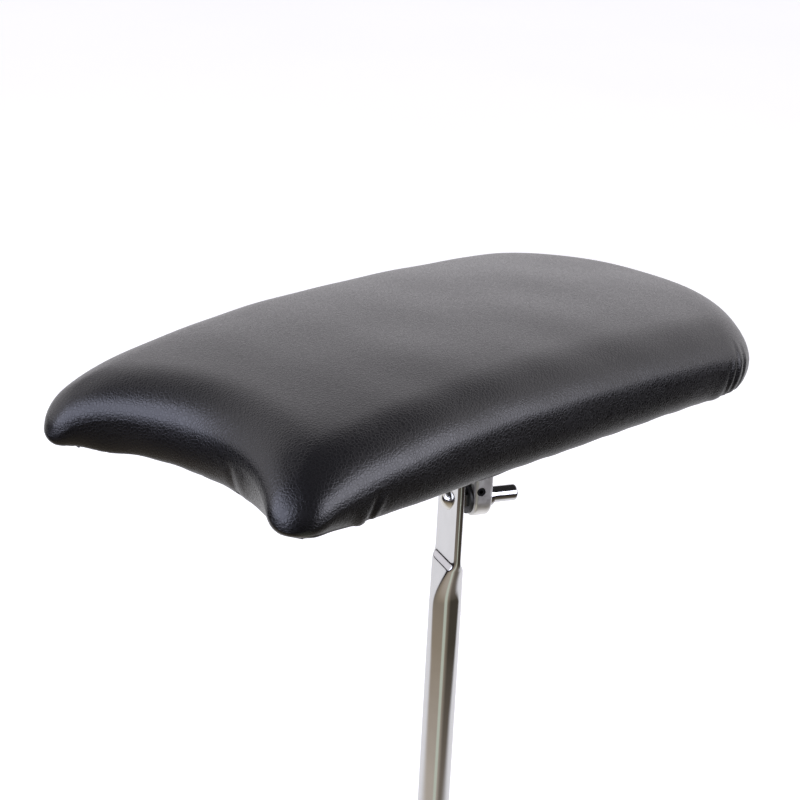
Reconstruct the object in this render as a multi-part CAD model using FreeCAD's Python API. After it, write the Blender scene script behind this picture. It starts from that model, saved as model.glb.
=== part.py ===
"""Padded armrest on a chromed post: pad, bracket, tilt pivot with its clamp, and post.

Units are millimetres.  +Z is up and the origin is the centre of the post's lower end.
The pad is level at rest.  Its long axis lies along Y, with the notched end at -Y and the
rounded end at +Y.  The tilt pivot crosses the post's flattened top, and is turned by
PIVOT_YAW from +X.  Everything on the pivot is built in pivot coordinates: X along the bolt
from its head to its nut, Z up, origin on the bolt's axis at the middle of the flattened tube.
"""
import FreeCAD, Part
import math
import os

V = FreeCAD.Vector

# ---- pad ----------------------------------------------------------------------------------
PAD_LENGTH = 345.0
PAD_WIDTH = 180.0
PAD_HEIGHT = 45.5            # board's underside to the highest point of the crown
NOTCH_DEPTH = 20.5           # concave end, horn tips to middle
HORN_RADIUS = 15.0
HORN_SPREAD = 69.0           # centre line to the middle of a horn
END_RADIUS = 115.0           # rounded end, middle arc
END_CORNER_RADIUS = 40.0     # rounded end, corner arcs
CROWN_PEAK_Y = -33.0         # where the crown is highest
CROWN_FALL_NOTCH = 23.0      # drop of the crown over CROWN_SPAN towards the notch
CROWN_FALL_END = 9.0         # drop of the crown over CROWN_SPAN towards the rounded end
CROWN_FALL_SIDE = 9.0        # drop of the crown from the centre line to the sides
CROWN_SPAN = 170.0
CROWN_STEPS = (9, 11)        # points across and along that carry the crown's surface
CROWN_REACH = 1.08           # how far those points reach, as a share of the pad's half sizes
TOP_EDGE_RADIUS = 12.0
BOTTOM_EDGE_RADIUS = 5.0

COVER_THICKNESS = 1.2
HEM_INSET = 14.0             # inner edge of the cover's hem, inside the pad's outline
BOARD_THICKNESS = 9.0
BOARD_INSET = 6.5            # board edge inside the pad's outline
DUST_COVER_THICKNESS = 0.6
DUST_COVER_INSET = 8.0
DUST_COVER_MARGIN = 1.5      # opening in the dust cover around the bracket's plate

# ---- where the pad sits on the post -------------------------------------------------------
POST_OFF_CENTRE = 16.0       # post axis towards the rounded end from the pad's middle
PIVOT_DROP = 54.7            # board underside to the bolt's axis
PIVOT_Z = 215.0              # post's lower end to the bolt's axis
PIVOT_YAW = 63.8             # degrees from +X to the bolt's axis

# ---- post ---------------------------------------------------------------------------------
TUBE_RADIUS = 8.0
TUBE_WALL = 1.5
FLAT_THICKNESS = 3.8
FLAT_WIDTH = 24.6
FLAT_SLIT = 0.7              # gap that is left between the two flattened walls
FLAT_BOTTOM = -29.0          # end of the flat below the bolt's axis
ROUND_WALL_ANGLE = 60        # half of the round tube's arc that becomes one flat wall, in degrees
ROUND_TOP = -46.0            # start of the round tube below the bolt's axis
PLUG_DEPTH = 14.0
PLUG_FLANGE = 2.0
PLUG_WALL = 2.0

# ---- bolt, washers and nuts on the pivot --------------------------------------------------
BOLT_RADIUS = 3.0
RUNNING_CLEARANCE = 0.05
HOLE_CLEARANCE = 0.2
BODY_GAP = 0.3               # between faces that slide past each other
HEAD_RADIUS = 5.4
HEAD_HEIGHT = 3.3
SPACER_WASHER = (6.0, 1.4)   # outer radius, thickness
JAM_NUT_ACROSS = 10.0
JAM_NUT_HEIGHT = 3.2
FRICTION_WASHER = (8.0, 1.5)
CLAMP_WASHER = (6.0, 1.2)
SPRING_WASHER = (5.2, 1.4)
SPRING_SLIT = 1.0
BARREL_RADIUS = 4.0
BARREL_LENGTH = 13.2
BARREL_BORE = 9.6
BARREL_END_RADIUS = 1.6
BARREL_SOCKET = (3.0, 2.4)   # across flats, depth
BOLT_IN_BARREL = 9.0

# ---- lug and bracket ----------------------------------------------------------------------
LUG_THICKNESS = 9.5
LUG_HALF_WIDTH = 9.25
LUG_EDGE_RADIUS = 1.8
PLATE_SIZE = (46.0, 64.0)    # along and across the bolt's axis
PLATE_THICKNESS = 3.0
PLATE_CORNER = 6.0
PLATE_SCREW_SPACING = (30.0, 48.0)
LOCK_SCREW_RADIUS = 2.2
LOCK_SCREW_LENGTH = 5.0
LOCK_SCREW_UP = 5.6          # above the bolt's axis
LOCK_SCREW_BACK = 3.2        # behind the lug's front face
LOCK_SCREW_SUNK = 0.4        # below the lug's side face
LOCK_SOCKET = (2.0, 2.5)     # across flats, depth

SCREW_RADIUS = 2.5
SCREW_HEAD = (4.6, 2.8)      # radius, height
SCREW_HEAD_ROUNDING = 1.1
SCREW_TIP_DEPTH = 0.5        # tip below the board's top
SCREW_SLOT = (1.0, 1.3)      # width and depth of the cross recess
LOCK_WASHER = (4.4, 1.2)     # outer radius, thickness
TEE_NUT_BARREL = (3.4, 8.0)  # radius, length
TEE_NUT_FLANGE = (8.5, 1.4)  # radius, thickness

# ---- staples ------------------------------------------------------------------------------
STAPLE_CROWN = 10.0
STAPLE_WIRE = 0.8
STAPLE_LEG = 5.0
HEM_STAPLES = (12.5, 44)     # inset from the pad's outline, how many
DUST_STAPLES = (10.5, 38)

# ---- heights and stations that follow from the sizes above --------------------------------
BOARD_Z = PIVOT_Z + PIVOT_DROP
PAD_Y = -POST_OFF_CENTRE
FLAT_HALF = FLAT_THICKNESS / 2.0
FLAT_HALF_WIDTH = FLAT_WIDTH / 2.0
NUT_FACE = FLAT_HALF + SPACER_WASHER[1]
FRICTION_FACE = NUT_FACE + JAM_NUT_HEIGHT + BODY_GAP
LUG_FACE = FRICTION_FACE + FRICTION_WASHER[1]
CLAMP_FACE = LUG_FACE + LUG_THICKNESS + BODY_GAP
SPRING_FACE = CLAMP_FACE + CLAMP_WASHER[1]
BARREL_FACE = SPRING_FACE + SPRING_WASHER[1]
LUG_MIDDLE = LUG_FACE + LUG_THICKNESS / 2.0
ALONG_BOLT = FreeCAD.Rotation(V(0, 1, 0), 90)
CUT = 1.0                    # how far a cutting shape reaches past the faces that it cuts


def export(name, shape):
    """Write one node; several solids in it stay separate."""
    for solid in shape.Solids:
        if not solid.isValid():
            raise ValueError(name + " has an invalid solid")
    print("%-22s solids %3d  volume %10.1f mm3" % (name, len(shape.Solids), shape.Volume))
    shape.exportStep("parts/" + name + ".step")


def on_pivot(shape):
    """Place a shape that is drawn in pivot coordinates."""
    placed = shape.copy()
    placed.Placement = FreeCAD.Placement(V(0, 0, PIVOT_Z), FreeCAD.Rotation(V(0, 0, 1), PIVOT_YAW))
    return placed


def on_pad(shape):
    """Place a shape that is drawn about the pad's middle, on the board's underside."""
    placed = shape.copy()
    placed.translate(V(0, PAD_Y, BOARD_Z))
    return placed


def disc(radius, start, length, hole=0.0):
    """A washer or plain cylinder along the bolt's axis."""
    solid = Part.makeCylinder(radius, length, V(start, 0, 0), V(1, 0, 0))
    if hole:
        solid = solid.cut(Part.makeCylinder(hole, length + 2 * CUT, V(start - CUT, 0, 0), V(1, 0, 0)))
    return solid


def hexagon(across, height, base, turn):
    """A hexagonal prism, across flats, standing on a base point; turn takes +Z to its axis."""
    corner = across / math.sqrt(3.0)
    points = [V(corner * math.cos(math.radians(60 * i)), corner * math.sin(math.radians(60 * i)), 0)
              for i in range(7)]
    prism = Part.Face(Part.makePolygon(points)).extrude(V(0, 0, height))
    prism.Placement = FreeCAD.Placement(base, turn)
    return prism


# ---- pad shapes ---------------------------------------------------------------------------
def pad_outline(inset, z=0.0):
    """The pad's plan as one wire of tangent arcs and lines, moved inwards by inset."""
    half_length = PAD_LENGTH / 2.0
    horn_centre = V(HORN_SPREAD, HORN_RADIUS - half_length, z)
    notch_top = NOTCH_DEPTH - half_length
    rise = notch_top - horn_centre.y
    notch_radius = (HORN_SPREAD ** 2 + rise ** 2 - HORN_RADIUS ** 2) / (2 * (HORN_RADIUS + rise))
    notch_centre = V(0, notch_top - notch_radius, z)
    corner_x = PAD_WIDTH / 2.0 - END_CORNER_RADIUS
    end_centre = V(0, half_length - END_RADIUS, z)
    corner_up = math.sqrt((END_RADIUS - END_CORNER_RADIUS) ** 2 - corner_x ** 2)
    corner_centre = V(corner_x, end_centre.y + corner_up, z)

    span = corner_centre - horn_centre
    reach = math.hypot(span.x, span.y)
    lean = math.asin((HORN_RADIUS - END_CORNER_RADIUS) / reach) - math.atan2(span.x, span.y)
    side_normal = V(math.cos(lean), math.sin(lean), 0)
    horn_radius = HORN_RADIUS - inset
    corner_radius = END_CORNER_RADIUS - inset
    side_low = horn_centre + side_normal * horn_radius
    side_high = corner_centre + side_normal * corner_radius
    end_normal = (corner_centre - end_centre).normalize()
    end_join = end_centre + end_normal * (END_RADIUS - inset)
    end_top = end_centre + V(0, END_RADIUS - inset, 0)
    notch_normal = (horn_centre - notch_centre).normalize()
    notch_join = notch_centre + notch_normal * (notch_radius + inset)
    notch_mid = notch_centre + V(0, notch_radius + inset, 0)
    horn_low = horn_centre - V(0, horn_radius, 0)
    corner_mid = corner_centre + (side_normal + end_normal).normalize() * corner_radius

    def left(point):
        return V(-point.x, point.y, point.z)

    edges = [
        Part.Arc(left(notch_join), notch_mid, notch_join),
        Part.Arc(notch_join, horn_low, side_low),
        Part.LineSegment(side_low, side_high),
        Part.Arc(side_high, corner_mid, end_join),
        Part.Arc(end_join, end_top, left(end_join)),
        Part.Arc(left(end_join), left(corner_mid), left(side_high)),
        Part.LineSegment(left(side_high), left(side_low)),
        Part.Arc(left(side_low), left(horn_low), left(notch_join)),
    ]
    return Part.Wire([edge.toShape() for edge in edges])


def crown_height(x, y, lower):
    """Height of the crown above the board's underside."""
    along = (y - CROWN_PEAK_Y) / CROWN_SPAN
    fall = CROWN_FALL_NOTCH if along < 0 else CROWN_FALL_END
    across = x / (PAD_WIDTH / 2.0)
    top = PAD_HEIGHT - COVER_THICKNESS - lower
    return top - fall * along ** 2 - CROWN_FALL_SIDE * across ** 2


def level_edges(body):
    """Edges that start out more level than upright."""
    starts = [(e, e.tangentAt(e.FirstParameter)) for e in body.Edges]
    return [e for e, heading in starts if abs(heading.z) < math.hypot(heading.x, heading.y)]


def crowned_solid(inset, bottom, lower):
    """The pad's outline raised from bottom to the crown, with both edges rounded."""
    prism = Part.Face(pad_outline(inset, bottom)).extrude(V(0, 0, 2 * PAD_HEIGHT))
    columns, rows = CROWN_STEPS
    grid = []
    for i in range(columns):
        x = CROWN_REACH * PAD_WIDTH * (i / (columns - 1) - 0.5)
        line = []
        for j in range(rows):
            y = CROWN_REACH * PAD_LENGTH * (j / (rows - 1) - 0.5)
            line.append(V(x, y, crown_height(x, y, lower)))
        grid.append(line)
    surface = Part.BSplineSurface()
    surface.interpolate(grid)
    below = surface.toShape().extrude(V(0, 0, -2 * PAD_HEIGHT))
    body = prism.common(below).Solids[0]
    rim = [e for e in level_edges(body) if e.BoundBox.ZMin > bottom + CUT]
    body = body.makeFillet(TOP_EDGE_RADIUS - inset, rim)
    foot = [e for e in level_edges(body) if e.BoundBox.ZMax < bottom + CUT]
    return body.makeFillet(BOTTOM_EDGE_RADIUS - inset, foot)


def pad_cover():
    """Leather cover: a thin shell over the foam, turned in under the board as a hem."""
    outer = crowned_solid(0.0, -COVER_THICKNESS, -COVER_THICKNESS)
    inner = crowned_solid(COVER_THICKNESS, 0.0, 0.0)
    mouth = slab(HEM_INSET, -2 * COVER_THICKNESS, 3 * COVER_THICKNESS)
    return outer.cut(inner).cut(mouth)


def slab(inset, bottom, thickness):
    """The pad's outline, moved inwards, as a flat sheet."""
    return Part.Face(pad_outline(inset, bottom)).extrude(V(0, 0, thickness))


def plate_outline(margin, bottom, thickness):
    """The bracket plate's rounded rectangle in pivot coordinates."""
    along, across = PLATE_SIZE[0] + 2 * margin, PLATE_SIZE[1] + 2 * margin
    block = Part.makeBox(along, across, thickness, V(LUG_MIDDLE - along / 2, -across / 2, bottom))
    upright = [e for e in block.Edges if e.BoundBox.ZLength > thickness / 2]
    return block.makeFillet(PLATE_CORNER + margin, upright)


def to_pad(shape):
    """Turn a shape in pivot coordinates into one drawn about the pad's middle."""
    turned = on_pivot(shape)
    turned.translate(V(0, -PAD_Y, -BOARD_Z))
    return turned


def screw_places():
    """The four bracket screws' axes, in pivot coordinates."""
    along, across = PLATE_SCREW_SPACING[0] / 2, PLATE_SCREW_SPACING[1] / 2
    return [(LUG_MIDDLE + i * along, j * across) for i in (-1, 1) for j in (-1, 1)]


def rod(radius, x, y, bottom, height):
    return Part.makeCylinder(radius, height, V(x, y, bottom))


def tee_nuts():
    """Pronged nuts let into the board from above: a flange and a threaded barrel each."""
    top = PIVOT_DROP + BOARD_THICKNESS
    barrel_radius, barrel_length = TEE_NUT_BARREL
    flange_radius, flange_thickness = TEE_NUT_FLANGE
    nuts = []
    for x, y in screw_places():
        nut = rod(barrel_radius, x, y, top - barrel_length, barrel_length)
        nut = nut.fuse(rod(flange_radius, x, y, top, flange_thickness)).removeSplitter()
        bore = rod(SCREW_RADIUS + RUNNING_CLEARANCE, x, y, top - barrel_length - CUT, 2 * barrel_length)
        nuts.append(nut.cut(bore))
    return nuts


def base_board():
    board = slab(BOARD_INSET, 0, BOARD_THICKNESS)
    for x, y in screw_places():
        hole = rod(TEE_NUT_BARREL[0], x, y, PIVOT_DROP - CUT, BOARD_THICKNESS + 2 * CUT)
        board = board.cut(to_pad(hole))
    return board


def foam_core():
    """Foam over the board and down over the board's edge, with hollows for the nuts' flanges."""
    foam = crowned_solid(COVER_THICKNESS, 0.0, 0.0).cut(slab(BOARD_INSET, -CUT, BOARD_THICKNESS + CUT))
    radius, thickness = TEE_NUT_FLANGE
    for x, y in screw_places():
        foam = foam.cut(to_pad(rod(radius, x, y, PIVOT_DROP, BOARD_THICKNESS + thickness)))
    return foam


def dust_cover():
    sheet = slab(DUST_COVER_INSET, -COVER_THICKNESS - DUST_COVER_THICKNESS, DUST_COVER_THICKNESS)
    window = plate_outline(DUST_COVER_MARGIN, PIVOT_DROP - 2 * PLATE_THICKNESS, 2 * PLATE_THICKNESS)
    return sheet.cut(to_pad(window))


def staple_ring(inset, count, crown_bottom):
    """Staples along the pad's outline, crowns down, legs up into the board."""
    path = pad_outline(inset).discretize(count + 1)[:count]
    staples = []
    for i, point in enumerate(path):
        run = path[(i + 1) % count] - path[i - 1]
        heading = math.degrees(math.atan2(run.y, run.x))
        half = STAPLE_CROWN / 2
        wire = Part.makeBox(STAPLE_CROWN, STAPLE_WIRE, STAPLE_LEG + STAPLE_WIRE,
                            V(-half, -STAPLE_WIRE / 2, 0))
        inside = Part.makeBox(STAPLE_CROWN - 2 * STAPLE_WIRE, 2 * STAPLE_WIRE, STAPLE_LEG + CUT,
                              V(STAPLE_WIRE - half, -STAPLE_WIRE, STAPLE_WIRE))
        staple = wire.cut(inside)
        staple.Placement = FreeCAD.Placement(V(point.x, point.y, crown_bottom),
                                             FreeCAD.Rotation(V(0, 0, 1), heading))
        staples.append(staple)
    return Part.makeCompound(staples)


# ---- bracket shapes -----------------------------------------------------------------------
def bracket_plate():
    plate = plate_outline(0.0, PIVOT_DROP - PLATE_THICKNESS, PLATE_THICKNESS)
    for x, y in screw_places():
        plate = plate.cut(rod(SCREW_RADIUS + HOLE_CLEARANCE, x, y, PIVOT_DROP - 2 * PLATE_THICKNESS,
                              3 * PLATE_THICKNESS))
    return plate


def hinge_lug():
    """Block hanging from the plate, round at its lower end, bored for the bolt."""
    top = PIVOT_DROP - PLATE_THICKNESS
    block = Part.makeBox(LUG_THICKNESS, 2 * LUG_HALF_WIDTH, top, V(LUG_FACE, -LUG_HALF_WIDTH, 0))
    lug = block.fuse(disc(LUG_HALF_WIDTH, LUG_FACE, LUG_THICKNESS)).removeSplitter()
    rims = [e for e in lug.Edges if e.BoundBox.XLength < LUG_EDGE_RADIUS and e.BoundBox.ZMin < top - CUT]
    lug = lug.makeFillet(LUG_EDGE_RADIUS, rims)
    lug = lug.cut(disc(BOLT_RADIUS + RUNNING_CLEARANCE, LUG_FACE - CUT, LUG_THICKNESS + 2 * CUT))
    return lug.cut(side_hole(LOCK_SCREW_RADIUS, CUT, LOCK_SCREW_LENGTH + 1.5 * CUT))


def side_hole(radius, outside, length):
    """A rod into the lug's side, starting this far outside its face."""
    start = V(LUG_FACE + LOCK_SCREW_BACK, -LUG_HALF_WIDTH - outside, LOCK_SCREW_UP)
    return Part.makeCylinder(radius, length, start, V(0, 1, 0))


def lock_screw():
    """Socket grub screw in the lug's side, just below the surface."""
    across, depth = LOCK_SOCKET
    screw = side_hole(LOCK_SCREW_RADIUS, -LOCK_SCREW_SUNK, LOCK_SCREW_LENGTH - LOCK_SCREW_SUNK)
    start = V(LUG_FACE + LOCK_SCREW_BACK, -LUG_HALF_WIDTH, LOCK_SCREW_UP)
    return screw.cut(hexagon(across, depth, start, FreeCAD.Rotation(V(1, 0, 0), -90)))


def bracket_screws():
    """Pan-head screws with a cross recess, heads down."""
    radius, height = SCREW_HEAD
    seat = PIVOT_DROP - PLATE_THICKNESS - LOCK_WASHER[1]
    tip = PIVOT_DROP + BOARD_THICKNESS - SCREW_TIP_DEPTH
    width, depth = SCREW_SLOT
    screws = []
    for x, y in screw_places():
        head = rod(radius, x, y, seat - height, height)
        rim = [e for e in head.Edges if e.BoundBox.ZMax < seat - height / 2]
        head = head.makeFillet(SCREW_HEAD_ROUNDING, rim)
        for size_x, size_y in ((radius, width), (width, radius)):
            head = head.cut(Part.makeBox(size_x, size_y, depth + CUT,
                                         V(x - size_x / 2, y - size_y / 2, seat - height - CUT)))
        screws.append(head.fuse(rod(SCREW_RADIUS, x, y, seat, tip - seat)).removeSplitter())
    return screws


def lock_washers():
    radius, thickness = LOCK_WASHER
    bottom = PIVOT_DROP - PLATE_THICKNESS - thickness
    rings = []
    for x, y in screw_places():
        bore = rod(SCREW_RADIUS + HOLE_CLEARANCE, x, y, bottom - CUT, thickness + 2 * CUT)
        rings.append(rod(radius, x, y, bottom, thickness).cut(bore))
    return rings


# ---- pivot shapes -------------------------------------------------------------------------
def pivot_bolt():
    """Domed head against the flattened tube, plain shank through to the barrel nut."""
    ball_radius = (HEAD_RADIUS ** 2 + HEAD_HEIGHT ** 2) / (2 * HEAD_HEIGHT)
    ball = Part.makeSphere(ball_radius, V(ball_radius - HEAD_HEIGHT - FLAT_HALF, 0, 0))
    head = ball.common(disc(HEAD_RADIUS + CUT, -HEAD_HEIGHT - FLAT_HALF - CUT, HEAD_HEIGHT + CUT))
    shank = disc(BOLT_RADIUS, -FLAT_HALF - CUT, BARREL_FACE + BOLT_IN_BARREL + FLAT_HALF + CUT)
    return head.fuse(shank).removeSplitter()


def jam_nut():
    prism = hexagon(JAM_NUT_ACROSS, JAM_NUT_HEIGHT, V(NUT_FACE, 0, 0), ALONG_BOLT)
    return prism.cut(disc(BOLT_RADIUS, NUT_FACE - CUT, JAM_NUT_HEIGHT + 2 * CUT))


def spring_washer():
    radius, thickness = SPRING_WASHER
    ring = disc(radius, SPRING_FACE, thickness, BOLT_RADIUS + HOLE_CLEARANCE)
    return ring.cut(Part.makeBox(thickness + 2 * CUT, SPRING_SLIT, radius * 2,
                                 V(SPRING_FACE - CUT, -SPRING_SLIT / 2, 0)))


def barrel_nut():
    """Long round nut with a rounded end and a hexagon socket in it."""
    nut = disc(BARREL_RADIUS, BARREL_FACE, BARREL_LENGTH)
    end = BARREL_FACE + BARREL_LENGTH
    nut = nut.makeFillet(BARREL_END_RADIUS, [e for e in nut.Edges if e.BoundBox.XMin > end - CUT])
    nut = nut.cut(disc(BOLT_RADIUS + RUNNING_CLEARANCE, BARREL_FACE - CUT, BARREL_BORE + CUT))
    across, depth = BARREL_SOCKET
    return nut.cut(hexagon(across, depth + CUT, V(end - depth, 0, 0), ALONG_BOLT))


# ---- post shapes --------------------------------------------------------------------------
def flat_section(half_width, half_thickness, z):
    """Section of the flattened tube: two straight walls joined by half circles."""
    x, y = half_thickness, half_width - half_thickness
    bulge = V(0, half_width, z)
    return Part.Wire([
        Part.LineSegment(V(x, -y, z), V(x, y, z)).toShape(),
        Part.Arc(V(x, y, z), bulge, V(-x, y, z)).toShape(),
        Part.LineSegment(V(-x, y, z), V(-x, -y, z)).toShape(),
        Part.Arc(V(-x, -y, z), V(0, -half_width, z), V(x, -y, z)).toShape(),
    ])


def round_section(radius, z):
    """Section of the round tube, cut where the flat section's walls and ends meet."""
    def at(degrees):
        return V(radius * math.cos(math.radians(degrees)), radius * math.sin(math.radians(degrees)), z)
    wall = ROUND_WALL_ANGLE
    return Part.Wire([
        Part.Arc(at(-wall), at(0), at(wall)).toShape(),
        Part.Arc(at(wall), at(90), at(180 - wall)).toShape(),
        Part.Arc(at(180 - wall), at(180), at(180 + wall)).toShape(),
        Part.Arc(at(180 + wall), at(270), at(360 - wall)).toShape(),
    ])


def tube_body(shrink, half_width, half_thickness, top):
    """Solid of the tube's outside or of its inside, from its lower end to top."""
    radius = TUBE_RADIUS - shrink
    lower = Part.makeCylinder(radius, PIVOT_Z + ROUND_TOP, V(0, 0, -PIVOT_Z))
    middle = Part.makeLoft([round_section(radius, ROUND_TOP),
                            flat_section(half_width, half_thickness, FLAT_BOTTOM)], True)
    upper = Part.Face(flat_section(half_width, half_thickness, FLAT_BOTTOM))
    upper = upper.extrude(V(0, 0, top - FLAT_BOTTOM))
    return lower.fuse(middle).fuse(upper)


def post_tube():
    """Round tube pressed flat at its top, with a rounded tip and a hole for the bolt."""
    outside = tube_body(0.0, FLAT_HALF_WIDTH, FLAT_HALF, FLAT_HALF_WIDTH + CUT)
    inside = tube_body(TUBE_WALL, FLAT_HALF_WIDTH - TUBE_WALL, FLAT_SLIT / 2,
                       FLAT_HALF_WIDTH + 2 * CUT)
    tube = outside.cut(inside)
    reach = 2 * FLAT_HALF_WIDTH
    shoulders = Part.makeBox(2 * TUBE_RADIUS, 2 * reach, reach, V(-TUBE_RADIUS, -reach, 0))
    tube = tube.cut(shoulders.cut(disc(FLAT_HALF_WIDTH, -TUBE_RADIUS, 2 * TUBE_RADIUS)))
    return tube.cut(disc(BOLT_RADIUS + HOLE_CLEARANCE, -TUBE_RADIUS, 2 * TUBE_RADIUS))


def post_end_plug():
    """Plastic plug pushed into the post's lower end."""
    insert = Part.makeCylinder(TUBE_RADIUS - TUBE_WALL, PLUG_DEPTH)
    flange = Part.makeCylinder(TUBE_RADIUS, PLUG_FLANGE, V(0, 0, -PLUG_FLANGE))
    plug = insert.fuse(flange).removeSplitter()
    rim = [e for e in plug.Edges if e.BoundBox.ZMax < -PLUG_FLANGE / 2]
    plug = plug.makeFillet(PLUG_FLANGE / 2, rim)
    hollow = Part.makeCylinder(TUBE_RADIUS - TUBE_WALL - PLUG_WALL, PLUG_DEPTH, V(0, 0, PLUG_FLANGE))
    return plug.cut(hollow)


def main():
    os.makedirs("parts", exist_ok=True)
    export("pad_cover", on_pad(pad_cover()))
    export("foam_core", on_pad(foam_core()))
    export("base_board", on_pad(base_board()))
    export("dust_cover", on_pad(dust_cover()))
    export("hem_staples", on_pad(staple_ring(HEM_STAPLES[0], HEM_STAPLES[1], -COVER_THICKNESS)))
    export("dust_cover_staples", on_pad(staple_ring(
        DUST_STAPLES[0], DUST_STAPLES[1], -COVER_THICKNESS - DUST_COVER_THICKNESS - STAPLE_WIRE)))
    export("tee_nuts", on_pivot(Part.makeCompound(tee_nuts())))
    export("bracket_screws", on_pivot(Part.makeCompound(bracket_screws())))
    export("bracket_lock_washers", on_pivot(Part.makeCompound(lock_washers())))
    export("bracket_plate", on_pivot(bracket_plate()))
    export("hinge_lug", on_pivot(hinge_lug()))
    export("lock_screw", on_pivot(lock_screw()))
    export("pivot_bolt", on_pivot(pivot_bolt()))
    export("spacer_washer", on_pivot(disc(SPACER_WASHER[0], FLAT_HALF, SPACER_WASHER[1],
                                          BOLT_RADIUS + HOLE_CLEARANCE)))
    export("jam_nut", on_pivot(jam_nut()))
    export("friction_washer", on_pivot(disc(FRICTION_WASHER[0], FRICTION_FACE, FRICTION_WASHER[1],
                                            BOLT_RADIUS + HOLE_CLEARANCE)))
    export("clamp_washer", on_pivot(disc(CLAMP_WASHER[0], CLAMP_FACE, CLAMP_WASHER[1],
                                         BOLT_RADIUS + HOLE_CLEARANCE)))
    export("spring_washer", on_pivot(spring_washer()))
    export("barrel_nut", on_pivot(barrel_nut()))
    export("post_tube", on_pivot(post_tube()))
    export("post_end_plug", post_end_plug())


main()
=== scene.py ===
"""Looks of the padded armrest: leather pad, tilt bracket and chromed post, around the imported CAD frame."""
import math

import bpy
import numpy as np
from mathutils import Matrix, Vector, kdtree


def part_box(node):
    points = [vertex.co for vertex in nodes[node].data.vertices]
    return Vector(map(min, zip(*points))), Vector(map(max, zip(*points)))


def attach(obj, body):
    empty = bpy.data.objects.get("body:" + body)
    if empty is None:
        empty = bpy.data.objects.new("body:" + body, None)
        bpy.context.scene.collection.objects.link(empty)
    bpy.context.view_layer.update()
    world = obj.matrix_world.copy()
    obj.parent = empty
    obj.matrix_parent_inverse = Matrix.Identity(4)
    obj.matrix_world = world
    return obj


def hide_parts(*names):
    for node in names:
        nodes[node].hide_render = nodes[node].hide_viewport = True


MM = 0.001

# ---- camera: the photograph's viewing angle ------------------------------------------------------
CAMERA_AZIMUTH = 41.58
CAMERA_ELEVATION = 19.36
CAMERA_ROLL = 2.88
CAMERA_DISTANCE = 1.0
CAMERA_ASIDE = (-16.44 * MM, -0.5 * MM)
CAMERA_LENS = 96.2
SENSOR_WIDTH = 36.0
CLIP_RANGE = (0.05, 60.0)

# ---- pad: mm about its middle, with the hem at height 0 ------------------------------------------
PAD_LENGTH = 345.0
PAD_WIDTH = 180.0
PAD_Y = -16.0                # the pad's middle, from the post's axis
NOTCH_DEPTH = 20.5           # concave end, horn tips to middle
HORN_RADIUS = 15.0
HORN_SPREAD = 69.0           # centre line to the middle of a horn
END_RADIUS = 115.0           # rounded end, middle arc
END_CORNER_RADIUS = 40.0     # rounded end, corner arcs
CROWN_HEIGHT = 45.9
CROWN_PEAK_Y = -33.0         # where the crown is highest
CROWN_SPAN = 170.0           # length over which it drops by the two falls below
CROWN_FALL_NOTCH = 22.6
CROWN_FALL_END = 7.6
CROWN_FALL_SIDE = 8.0
CROWN_SIDE_POWER = 2.6
EDGE_INSET = 24.0            # the top starts to round over this far inside the outline
EDGE_DROP = 16.0
EDGE_POWER = 2.1
ROLL_HEIGHT = 15.0           # the side turns under from this height
ROLL_MARGIN = 0.6            # and at least this far below the top
TUCK = 5.2                   # how far in the side has turned when it reaches the hem
HEM_INSET = 14.0
TIP_OUT = 4.0                # a horn's tip: outwards from HORN_SPREAD, and in from the pad's end
TIP_IN = 3.0
TIP_DROP = 5.0               # the horns and the far corners slope down a little more
TIP_REACH = 15.0
TIP_TUCK = 4.0               # under the horns the side turns in further
TIP_TUCK_REACH = 22.0
CORNER_DROP = 3.0
CORNER_REACH = 9.0
CORNER_SPAN = (85.0, 135.0)  # the far corners' slope sets in between these

# the skin's mesh: a grid over the top, then rings over the edge, down the side and under to the hem
GRID_ACROSS = 38
GRID_ALONG = 64
GRID_INSET = 9.0
GRID_ROUNDS = 60
TOP_INSETS = (6.6, 4.6, 3.0, 1.8, 0.9, 0.3, 0.0)
WALL_SHARES = (0.5, 1.0)
ROLL_ANGLES = (13, 26, 39, 52, 65, 78, 90)
HEM_SHARES = (0.33, 0.66, 1.0)

# the skin starts a little inside its final shape, and pressure swells it out
PAD_SHRINK = 0.3
PAD_LOWER = 0.7
SWELL_CAP = 2.5
SWELL_PRESSURE = 4.0
SWELL_FRAMES = 20
SWELL_ROUNDS = 30            # rounds that smooth the movement
FOAM_HOLD = 0.1              # how firmly the foam's grip holds the skin, against the staples' 1
SKIN_CLOTH = {
    "quality": 6, "mass": 0.3, "tension_stiffness": 25, "compression_stiffness": 25,
    "shear_stiffness": 12, "bending_stiffness": 4, "use_pressure": True,
    "uniform_pressure_force": SWELL_PRESSURE,
}

# ---- creases and folds of the leather ------------------------------------------------------------
# place in the plan, lean along the edge, where it starts and stops up the side, depth, width
PLEATS = (
    (83.5, -133.0, 5.0, 1.0, 15.0, 0.7, 1.4),
    (26.0, -154.0, -3.0, 1.0, 17.0, 0.4, 3.0),
    (88.0, 109.0, 3.0, 0.0, 26.0, 0.40, 1.2),
    (88.0, 114.0, 5.0, 0.0, 36.0, 0.60, 1.3),
    (87.0, 120.0, 6.0, 0.0, 32.0, 0.45, 1.1),
    (82.0, 130.0, 4.0, 0.0, 20.0, 0.50, 1.3),
    (74.0, 140.0, 4.0, 0.0, 20.0, 0.45, 1.2),
    (62.0, 150.0, 3.0, 0.0, 16.0, 0.40, 1.3),
    (-87.0, 116.0, -5.0, 0.0, 22.0, 0.45, 1.3),
    (-83.0, 127.0, -5.0, 0.0, 22.0, 0.50, 1.3),
    (-76.0, 138.0, -4.0, 0.0, 18.0, 0.45, 1.2),
    (-64.0, 149.0, -3.0, 0.0, 16.0, 0.40, 1.3),
)
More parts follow.
